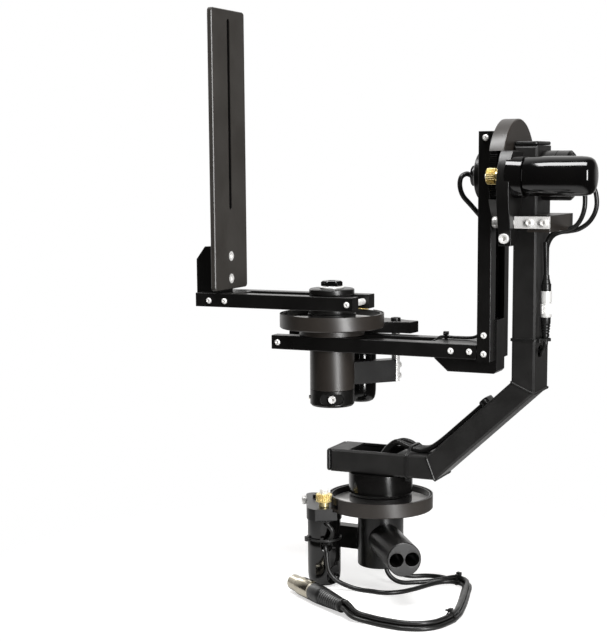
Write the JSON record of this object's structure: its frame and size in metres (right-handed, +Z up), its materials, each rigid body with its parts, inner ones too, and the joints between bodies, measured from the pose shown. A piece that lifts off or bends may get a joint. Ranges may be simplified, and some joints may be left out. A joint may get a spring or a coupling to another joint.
{
  "type": "motorised three-axis camera gimbal head",
  "caption": "Motorised pan, tilt and roll camera stabiliser head on a bent arm, with twin-rail balance frames and a slotted camera plate.",
  "frame": {"origin": "on the end face of the crane spigot, 13 mm above its centre, clear of both rod bores", "axes": "+Z up along the pan axis, +X along the arm and rails towards the tilt post, +Y completes the right hand; the spigot leaves at 54 degrees from +X towards -Y"},
  "size_m": [0.4686, 0.2392, 0.63],
  "materials": {
    "black_anodised": "satin black anodised",
    "warm_anodised": "satin warm dark grey anodised",
    "powder_coat": "semi-gloss black powder coat",
    "gloss_black": "high gloss moulded cover",
    "bright_steel": "bright machined and plated",
    "brass": "machined brass",
    "black_rubber": "smooth cable jacket",
    "black_plastic": "push-in end cap",
    "nickel": "satin nickel connector shell"
  },
  "bodies": {
    "base": {"pan_housing": "black_anodised", "crane_spigot": "warm_anodised", "pan_gear_cover": "warm_anodised", "pan_bracket_bar": "black_anodised", "pan_pivot_plate": "bright_steel", "signal_cord": "black_rubber", "motor_cord": "black_rubber", "power_cord": "black_rubber", "cord_plug": "nickel"},
    "pan_motor": {"pan_motor_plate": "black_anodised", "pan_gearbox": "black_anodised", "pan_motor_cover": "gloss_black"},
    "pan_pinion": {"pan_pinion": "brass"},
    "arm": {"pan_drive_gear": "black_anodised", "pan_neck": "black_anodised", "arm_tube": "powder_coat", "arm_end_cap": "black_plastic", "post_top_cap": "black_plastic", "arm_cable": "black_rubber", "tilt_housing": "black_anodised", "tilt_end_collar": "black_anodised", "tilt_gear_cover": "warm_anodised", "tilt_bracket_bar": "warm_anodised", "tilt_pivot_plate": "bright_steel", "tilt_connector_lead": "black_rubber", "tilt_rear_leads": "black_rubber"},
    "tilt_motor": {"tilt_motor_plate": "black_anodised", "tilt_gearbox": "black_anodised", "tilt_motor_cover": "gloss_black"},
    "tilt_pinion": {"tilt_pinion": "brass"},
    "tilt_rotor": {"tilt_drive_gear": "black_anodised", "tilt_shaft": "bright_steel", "tilt_clamp_disc": "black_anodised", "tilt_clamp_bolt": "bright_steel"},
    "tilt_frame": {"tilt_rail_front": "black_anodised", "tilt_rail_rear": "black_anodised", "lower_rail_front": "black_anodised", "lower_rail_rear": "black_anodised", "corner_block": "black_anodised", "frame_top_bolt": "bright_steel", "frame_end_bolt": "bright_steel", "frame_cable": "black_rubber"},
    "roll_carriage": {"roll_housing": "black_anodised", "roll_end_collar": "black_anodised", "roll_gear_cover": "warm_anodised", "roll_bracket_bar": "black_anodised", "roll_pivot_plate": "bright_steel"},
    "roll_motor": {"roll_motor_plate": "black_anodised", "roll_gearbox": "black_anodised", "roll_motor_cover": "gloss_black"},
    "roll_pinion": {"roll_pinion": "brass"},
    "roll_rotor": {"roll_drive_gear": "black_anodised", "roll_shaft": "black_anodised", "roll_clamp_disc": "black_anodised", "roll_clamp_bolt": "bright_steel"},
    "camera_arm": {"upper_rail_front": "black_anodised", "upper_rail_rear": "black_anodised", "upper_corner_block": "black_anodised", "camera_plate": "warm_anodised", "camera_arm_end_bolt": "bright_steel"}
  },
  "joints": [
    {"name": "pan", "type": "hinge", "parent": "base", "child": "arm", "pos_m": [-0.06113, 0.08414, 0.045], "axis": [0, 0, 1], "range_deg": [-170, 170]},
    {"name": "tilt", "type": "hinge", "parent": "arm", "child": "tilt_rotor", "pos_m": [0.08887, 0.08414, 0.3815], "axis": [1, 0, 0], "range_deg": [-170, 170]},
    {"name": "roll", "type": "hinge", "parent": "roll_carriage", "child": "roll_rotor", "pos_m": [-0.11913, 0.08414, 0.225], "axis": [0, 0, 1], "range_deg": [-170, 170]},
    {"name": "pan_motor_swing", "type": "hinge", "parent": "base", "child": "pan_motor", "pos_m": [-0.13931, 0.08702, 0.015], "axis": [0, 0, 1], "range_deg": [-4, 0]},
    {"name": "tilt_motor_swing", "type": "hinge", "parent": "arm", "child": "tilt_motor", "pos_m": [0.09387, 0.02014, 0.3365], "axis": [-1, 0, 0], "range_deg": [-4, 0]},
    {"name": "roll_motor_swing", "type": "hinge", "parent": "roll_carriage", "child": "roll_motor", "pos_m": [-0.06667, 0.14218, 0.213], "axis": [0, 0, 1], "range_deg": [-4, 0]},
    {"name": "pan_pinion_spin", "type": "hinge", "parent": "pan_motor", "child": "pan_pinion", "pos_m": [-0.11422, 0.04966, 0.027], "axis": [0, 0, 1], "continuous": true},
    {"name": "tilt_pinion_spin", "type": "hinge", "parent": "tilt_motor", "child": "tilt_pinion", "pos_m": [0.08387, 0.02084, 0.3815], "axis": [1, 0, 0], "continuous": true},
    {"name": "roll_pinion_spin", "type": "hinge", "parent": "roll_motor", "child": "roll_pinion", "pos_m": [-0.11142, 0.14697, 0.227], "axis": [0, 0, 1], "continuous": true},
    {"name": "frame_balance", "type": "slide", "parent": "tilt_rotor", "child": "tilt_frame", "axis": [0, 0, 1], "range_m": [-0.018, 0.012]},
    {"name": "roll_unit_balance", "type": "slide", "parent": "tilt_frame", "child": "roll_carriage", "axis": [1, 0, 0], "range_m": [-0.03, 0.055]},
    {"name": "camera_arm_balance", "type": "slide", "parent": "roll_rotor", "child": "camera_arm", "axis": [1, 0, 0], "range_m": [-0.012, 0.08]}
  ],
  "couplings": [
    {"joint": "pan_pinion_spin", "follows": "pan", "ratio": -6.7692},
    {"joint": "tilt_pinion_spin", "follows": "tilt", "ratio": -6.7692},
    {"joint": "roll_pinion_spin", "follows": "roll", "ratio": -6.7692}
  ]
}
